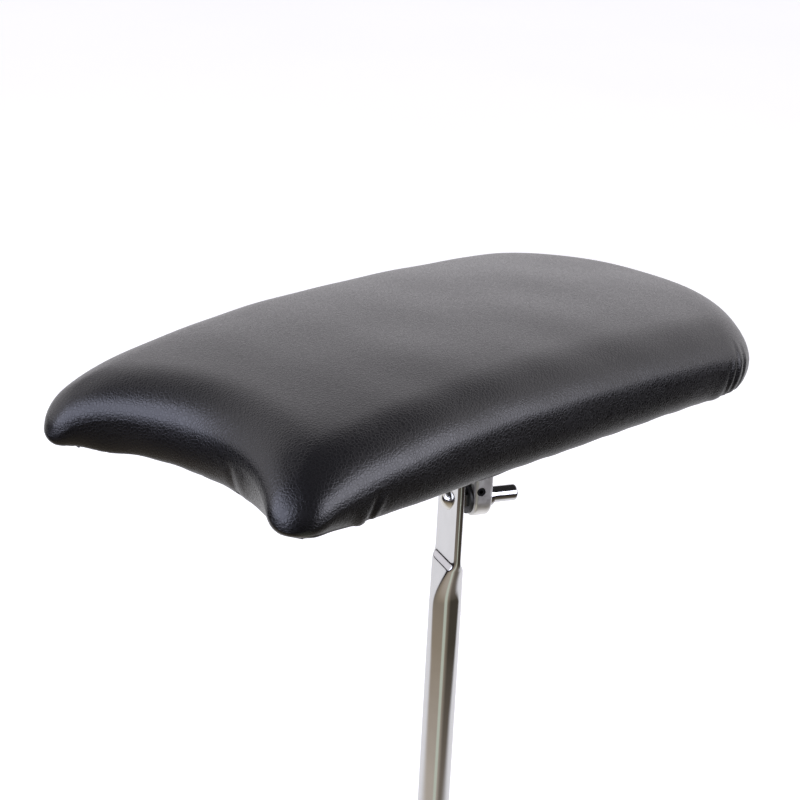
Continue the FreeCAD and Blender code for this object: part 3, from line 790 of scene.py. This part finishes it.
# ---- materials -----------------------------------------------------------------------------------
class Nodes:
    """Short way to write the node tree of a material or of the world."""

    def __init__(self, owner, coordinates="Object"):
        owner.use_nodes = True
        self.owner = owner
        self.tree = owner.node_tree
        self.shader = self.tree.nodes.get("Principled BSDF")
        self.coords = self.add("TexCoord").outputs[coordinates]

    def plug(self, socket, value):
        """Link another node's output to this socket, or set the socket's own value."""
        if isinstance(value, bpy.types.NodeSocket):
            self.tree.links.new(value, socket)
        else:
            socket.default_value = value

    def add(self, kind, settings=None, **inputs):
        """A new node; its inputs go by name, or by number as i0, i1 and so on."""
        item = self.tree.nodes.new("ShaderNode" + kind)
        for key, value in (settings or {}).items():
            setattr(item, key, value)
        for key, value in inputs.items():
            numbered = key[0] == "i" and key[1:].isdigit()
            self.plug(item.inputs[int(key[1:]) if numbered else key.replace("_", " ")], value)
        return item

    def set(self, **inputs):
        """Set or link the shader's inputs."""
        for key, value in inputs.items():
            self.plug(self.shader.inputs[key.replace("_", " ")], value)
        return self.owner

    def noise(self, scale, detail=2.0, rough=0.5, vector=None):
        vector = vector or self.coords
        return self.add("TexNoise", Vector=vector, Scale=scale, Detail=detail, Roughness=rough).outputs["Fac"]

    def voronoi(self, scale, feature="F1", vector=None, randomness=1.0):
        return self.add("TexVoronoi", {"feature": feature}, Vector=vector or self.coords, Scale=scale,
                        Randomness=randomness).outputs["Distance"]

    def remap(self, value, low, high, to_low, to_high, kind="LINEAR"):
        return self.add("MapRange", {"interpolation_type": kind}, Value=value, From_Min=low, From_Max=high,
                        To_Min=to_low, To_Max=to_high).outputs["Result"]

    def fade(self, value, low, high, to_low=0.0, to_high=1.0):
        """Like remap, with a soft step between the two ends."""
        return self.remap(value, low, high, to_low, to_high, "SMOOTHSTEP")

    def math(self, operation, first, second=0.0):
        return self.add("Math", {"operation": operation}, i0=first, i1=second).outputs["Value"]

    def vector(self, operation, output="Vector", **inputs):
        return self.add("VectorMath", {"operation": operation}, **inputs).outputs[output]

    def towards(self, way):
        """How far the coordinates lie in this direction."""
        return self.vector("DOT_PRODUCT", "Value", i0=self.coords, i1=way)

    def stretch(self, x, y, z):
        return self.add("Mapping", Vector=self.coords, Scale=(x, y, z)).outputs["Vector"]

    def warp(self, scale, amount):
        """The coordinates, each shifted a little by a noise."""
        shift = self.add("TexNoise", Vector=self.coords, Scale=scale, Detail=1.0).outputs["Color"]
        centred = self.vector("SUBTRACT", i0=shift, i1=(0.5, 0.5, 0.5))
        return self.vector("ADD", i0=self.coords, i1=self.vector("SCALE", i0=centred, Scale=amount))

    def ramp(self, value, *stops):
        """Colours by value: each stop is a place and a colour."""
        item = self.add("ValToRGB", Fac=value)
        elements = item.color_ramp.elements
        while len(elements) < len(stops):
            elements.new(0.5)
        for element, (place, colour) in zip(elements, stops):
            element.position = place
            element.color = (*colour, 1.0)
        return item.outputs["Color"]

    def mix(self, share, first, second):
        return self.add("Mix", {"data_type": "RGBA"}, i0=share, i6=first, i7=second).outputs[2]

    def bump(self, height, distance, strength):
        return self.add("Bump", Height=height, Distance=distance, Strength=strength).outputs["Normal"]

    def by_ray(self, reflected, seen):
        """One shader for what the camera sees directly, another one for light and reflections."""
        path = self.add("LightPath").outputs["Is Camera Ray"]
        return self.add("MixShader", i0=path, i1=reflected, i2=seen).outputs[0]


def new_finish(name):
    return Nodes(bpy.data.materials.new(name))


def darker(share, colour):
    return tuple(share * part for part in colour)


def leather():
    """Pebbled black synthetic leather."""
    n = new_finish("black_leather")
    bent = n.warp(160.0, 0.0022)
    pebbles = n.fade(n.voronoi(640.0, "DISTANCE_TO_EDGE", bent), 0.0, 0.22)
    fine = n.noise(1900.0, 2.0, 0.6)
    wrinkles = n.noise(420.0, 2.0, 0.5, n.stretch(1.0, 0.6, 1.0))
    height = n.math("ADD", n.math("MULTIPLY", pebbles, 0.55), n.math("MULTIPLY", fine, 0.2))
    height = n.math("ADD", height, n.math("MULTIPLY", wrinkles, 0.35))
    patches = n.noise(22.0, 4.0, 0.6)
    colour = n.ramp(patches, (0.3, (0.0042, 0.0040, 0.0044)), (0.7, (0.0075, 0.0069, 0.0071)))
    rough = n.math("ADD", n.remap(pebbles, 0.0, 1.0, 0.36, 0.26), n.remap(fine, 0.3, 0.7, -0.01, 0.015))
    return n.set(Base_Color=colour, Roughness=rough, Normal=n.bump(height, 0.00010, 0.7), IOR=1.5)


def chrome():
    """Polished chrome with faint lines along its height."""
    n = new_finish("chrome")
    tint = (0.69, 0.69, 0.70)
    lines = n.noise(900.0, 2.0, 0.5, n.stretch(1.0, 1.0, 0.04))
    smear = n.noise(70.0, 3.0, 0.6)
    roughness = n.remap(smear, 0.3, 0.75, 0.06, 0.13)
    colour = n.ramp(smear, (0.25, darker(0.93, tint)), (0.75, tint))
    return n.set(Base_Color=colour, Metallic=1.0, Roughness=roughness, Normal=n.bump(lines, 0.00002, 0.25))


def plated(name, colour, rough, metallic=1.0, grain=700.0, depth=0.00004):
    """Plated or enamelled metal, slightly grained."""
    n = new_finish(name)
    spots = n.noise(grain, 3.0, 0.6)
    patches = n.noise(120.0, 3.0, 0.5)
    base = n.ramp(patches, (0.3, darker(0.82, colour)), (0.72, colour))
    roughness = n.remap(spots, 0.3, 0.7, rough - 0.05, rough + 0.08)
    return n.set(Base_Color=base, Metallic=metallic, Roughness=roughness, Normal=n.bump(spots, depth, 0.6))


def plywood():
    n = new_finish("plywood")
    grain = n.noise(140.0, 5.0, 0.6, n.stretch(1.0, 0.06, 1.0))
    plies = n.add("TexWave", {"bands_direction": "Z"}, Vector=n.coords, Scale=110.0, Distortion=1.5,
                  Detail=2.0).outputs["Fac"]
    mixed = n.math("ADD", n.math("MULTIPLY", grain, 0.75), n.math("MULTIPLY", plies, 0.25))
    colour = n.ramp(mixed, (0.3, (0.19, 0.115, 0.058)), (0.75, (0.42, 0.29, 0.17)))
    rough = n.remap(grain, 0.2, 0.8, 0.62, 0.8)
    return n.set(Base_Color=colour, Roughness=rough, Normal=n.bump(grain, 0.0002, 0.5))


def foam():
    n = new_finish("foam")
    cells = n.voronoi(900.0)
    colour = n.ramp(cells, (0.05, (0.42, 0.38, 0.27)), (0.5, (0.72, 0.67, 0.52)))
    rough = n.remap(cells, 0.0, 0.6, 0.95, 0.85)
    return n.set(Base_Color=colour, Roughness=rough, Normal=n.bump(cells, 0.0004, 0.7))


def non_woven():
    """Black non-woven cloth: fine strands with rows of pressed dimples."""
    n = new_finish("dust_cloth")
    strands = n.voronoi(1400.0, vector=n.warp(300.0, 0.004))
    dimples = n.fade(n.voronoi(420.0, randomness=0.15), 0.1, 0.3)
    height = n.math("ADD", n.math("MULTIPLY", strands, 0.5), dimples)
    colour = n.ramp(strands, (0.1, (0.010, 0.010, 0.011)), (0.6, (0.030, 0.030, 0.032)))
    rough = n.remap(dimples, 0.0, 1.0, 0.6, 0.88)
    return n.set(Base_Color=colour, Roughness=rough, Normal=n.bump(height, 0.00025, 0.6))


def plastic(name, colour, rough):
    n = new_finish(name)
    grain = n.noise(1200.0, 2.0)
    base = n.ramp(n.noise(90.0, 3.0), (0.3, darker(0.8, colour)), (0.7, colour))
    roughness = n.remap(grain, 0.3, 0.7, rough, rough + 0.1)
    return n.set(Base_Color=base, Roughness=roughness, Normal=n.bump(grain, 0.00003, 0.5))


def dress(obj, material):
    obj.data.materials.clear()
    obj.data.materials.append(material)


def dress_node(node, material):
    slots = node.material_slots
    if not slots:
        node.data.materials.append(material)
    for slot in slots:
        slot.material = material


# ---- camera and studio ---------------------------------------------------------------------------
def direction(azimuth, elevation):
    """Unit vector from the object towards this azimuth and elevation."""
    a, e = math.radians(azimuth), math.radians(elevation)
    return Vector((math.sin(a) * math.cos(e), -math.cos(a) * math.cos(e), math.sin(e)))


def make_camera(target):
    """The scene's camera, a little aside of its target and rolled."""
    back = direction(CAMERA_AZIMUTH, CAMERA_ELEVATION)
    right = direction(CAMERA_AZIMUTH + 90.0, 0.0)
    up = back.cross(right)
    eye = target + back * CAMERA_DISTANCE + right * CAMERA_ASIDE[0] + up * CAMERA_ASIDE[1]
    data = bpy.data.cameras.new("camera")
    data.lens = CAMERA_LENS
    data.sensor_width = SENSOR_WIDTH
    data.clip_start, data.clip_end = CLIP_RANGE
    camera = bpy.data.objects.new("camera", data)
    bpy.context.scene.collection.objects.link(camera)
    axes = Matrix((right, up, back)).transposed().to_4x4()
    camera.matrix_world = Matrix.Translation(eye) @ axes @ Matrix.Rotation(math.radians(CAMERA_ROLL), 4, "Z")
    bpy.context.scene.camera = camera


def softbox(name, azimuth, elevation, width, height, power, colour, aim):
    """Rectangular light that faces its aim and isn't seen itself."""
    data = bpy.data.lights.new(name, "AREA")
    data.shape = "RECTANGLE"
    data.size = width
    data.size_y = height
    data.energy = power
    data.color = colour
    light = bpy.data.objects.new(name, data)
    bpy.context.scene.collection.objects.link(light)
    towards = direction(azimuth, elevation)
    light.location = aim + towards * SOFTBOX_DISTANCE
    light.rotation_mode = "QUATERNION"
    light.rotation_quaternion = towards.to_track_quat("Z", "Y")
    light.visible_camera = False


def make_world():
    """White to look at; reflections get a backdrop behind the object, a dim ceiling and a dark room."""
    world = bpy.data.worlds.new("studio")
    bpy.context.scene.world = world
    world.use_nodes = True
    world.node_tree.nodes.clear()
    n = Nodes(world, "Generated")
    height = n.add("SeparateXYZ", Vector=n.coords).outputs["Z"]
    behind = n.fade(n.towards(-direction(CAMERA_AZIMUTH, 0.0)), *BACKDROP_FADE)
    below_ceiling = n.fade(height, *CEILING_FADE, 1.0, 0.0)
    low, high, dimmest = LOW_FADE
    above_floor = n.fade(height, low, high, dimmest, 1.0)
    start, end, darkest = LEFT_FADE
    leftward = n.fade(n.towards(direction(CAMERA_AZIMUTH - 90.0, 0.0)), start, end, 1.0, darkest)
    upright = n.math("MULTIPLY", behind, below_ceiling)
    backdrop = n.math("MULTIPLY", upright, n.math("MULTIPLY", above_floor, leftward))
    tint = n.ramp(backdrop, (0.0, ROOM_TINT), (1.0, BACKDROP_TINT))
    room = n.add("Background", Color=tint, Strength=BACKDROP_LEVEL)
    plain = n.add("Background", Color=WHITE, Strength=1.0)
    n.add("OutputWorld", Surface=n.by_ray(room.outputs[0], plain.outputs[0]))


def floor_reflections(n):
    """What reflections see of the floor: a white sweep behind, and in front a darker room painted as a glow
    of light on the floor, brighter near the post and darker away from it and on the right, with a pale strip
    of painted glow.
    """
    forward = n.towards(direction(CAMERA_AZIMUTH, 0.0))
    beside = n.towards(direction(CAMERA_AZIMUTH + 90.0, 0.0))
    reach = n.vector("LENGTH", "Value", i0=n.coords)
    bearing = n.math("ARCTAN2", beside, forward)
    # painted light on the floor in front: a glow seen only in reflections, brighter near the post and darker
    # away from it
    front = n.mix(n.fade(bearing, *SIDE_FADE), n.ramp(reach, *FLOOR_LEFT_PAINTED_LIGHT), n.ramp(reach, *FLOOR_RIGHT_PAINTED_LIGHT))
    off_strip = n.math("ABSOLUTE", n.math("SUBTRACT", bearing, STRIP_BEARING))
    strip = n.fade(off_strip, *STRIP_FADE, STRIP_SHARE, 0.0)
    strip = n.math("MULTIPLY", strip, n.remap(reach, *STRIP_END, 1.0, 0.0))
    # the pale strip is painted glow: a painted reflection streak for the chrome post
    striped = n.mix(strip, front, STRIP_GLOW_COLOUR)
    to_left = n.math("SUBTRACT", n.math("MULTIPLY", beside, -1.0), SWEEP_CORNER[0])
    to_right = n.math("SUBTRACT", beside, SWEEP_CORNER[1])
    past_corner = n.math("MAXIMUM", n.math("MAXIMUM", to_left, to_right), 0.0)
    edge = n.math("ADD", forward, n.math("MULTIPLY", past_corner, SWEEP_SLOPE))
    return n.mix(n.fade(edge, *SWEEP_FADE), striped, SWEEP_COLOUR)


def make_floor(level):
    """A wide pale floor; it is bright to look at, and to reflections and light it shows only the painted glow
    of floor_reflections, which sends little light back up.
    """
    points = [(0.0, 0.0, level)]
    for k in range(FLOOR_SEGMENTS):
        angle = 2 * math.pi * k / FLOOR_SEGMENTS
        points.append((FLOOR_RADIUS * math.cos(angle), FLOOR_RADIUS * math.sin(angle), level))
    faces = [(0, 1 + k, 1 + (k + 1) % FLOOR_SEGMENTS) for k in range(FLOOR_SEGMENTS)]
    floor = new_object("floor", points, faces)
    n = new_finish("pale_floor")
    tint = n.ramp(n.noise(3.0, 2.0), (0.3, (0.87, 0.87, 0.88)), (0.7, (0.9, 0.9, 0.9)))
    n.set(Base_Color=tint, Roughness=0.9, Emission_Color=WHITE, Emission_Strength=FLOOR_GLOW)
    reflected = n.add("Emission", Color=floor_reflections(n))
    surface = n.by_ray(reflected.outputs[0], n.shader.outputs[0])
    n.plug(n.tree.nodes["Material Output"].inputs["Surface"], surface)
    dress(floor, n.owner)


def studio(aim):
    make_world()
    for row in SOFTBOXES:
        softbox(*row, aim)
    scene = bpy.context.scene
    scene.view_settings.view_transform = "Standard"
    scene.view_settings.look = "None"


# ---- the object ----------------------------------------------------------------------------------
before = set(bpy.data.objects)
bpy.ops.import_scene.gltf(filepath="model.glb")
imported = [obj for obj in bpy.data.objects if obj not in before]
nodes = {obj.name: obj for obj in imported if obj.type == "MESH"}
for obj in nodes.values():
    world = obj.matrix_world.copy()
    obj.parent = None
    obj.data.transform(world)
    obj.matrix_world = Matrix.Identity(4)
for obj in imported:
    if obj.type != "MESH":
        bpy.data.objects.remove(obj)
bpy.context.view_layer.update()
hem_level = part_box("pad_cover")[0].z
pad_origin = Vector((0.0, PAD_Y * MM, hem_level))

# leather pad
pad_points, pad_faces, hem_first = pad_mesh(PAD_SHRINK, PAD_LOWER)
pad = new_object("leather_pad", pad_points, pad_faces)
inflate(pad, list(range(hem_first, len(pad_points))))
subdivide(pad, levels=2)
crease(pad)
move_points(pad, pad_origin)
dress(pad, leather())
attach(pad, "pad")
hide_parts("pad_cover")

# foam
foam_points, foam_faces = foam_mesh()
core = new_object("foam_block", foam_points + np.array(pad_origin), foam_faces)
dress(core, foam())
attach(core, "pad")
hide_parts("foam_core")

# dust cover
dust_low, dust_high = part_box("dust_cover")
cloth, held, cloth_area = dust_cover(((dust_low.z + dust_high.z) / 2 - hem_level) / MM)
sag(cloth, held)
move_points(cloth, pad_origin)
dress(cloth, non_woven())
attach(cloth, "pad")
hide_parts("dust_cover")

# post
bright = chrome()
post = post_tube()
dress(post, bright)
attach(post, "post")
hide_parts("post_tube")

# finishes of the CAD solids that are shown as they are
zinc = plated("zinc_plate", (0.62, 0.62, 0.60), 0.32)
staple_wire = plated("staple_wire", (0.66, 0.66, 0.66), 0.25)
finishes = {
    "base_board": plywood(),
    "hem_staples": staple_wire,
    "dust_cover_staples": staple_wire,
    "tee_nuts": zinc,
    "bracket_screws": zinc,
    "bracket_lock_washers": zinc,
    "bracket_plate": plated("black_enamel", (0.012, 0.012, 0.013), 0.38, metallic=0.0),
    "hinge_lug": plated("satin_nickel", (0.90, 0.89, 0.86), 0.36, 0.9, grain=300.0, depth=0.00001),
    "lock_screw": plated("black_oxide", (0.05, 0.05, 0.052), 0.35),
    "pivot_bolt": plated("bright_zinc", (0.74, 0.73, 0.68), 0.17, grain=300.0, depth=0.00001),
    "spacer_washer": bright,
    "jam_nut": bright,
    "friction_washer": plastic("nylon", (0.03, 0.03, 0.03), 0.4),
    "clamp_washer": bright,
    "spring_washer": bright,
    "barrel_nut": bright,
    "post_end_plug": plastic("plug_plastic", (0.02, 0.02, 0.021), 0.45),
}
for name, material in finishes.items():
    dress_node(nodes[name], material)

make_camera(pad_origin)
make_floor(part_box("post_end_plug")[0].z)
studio(Vector((0.0, 0.0, hem_level)))
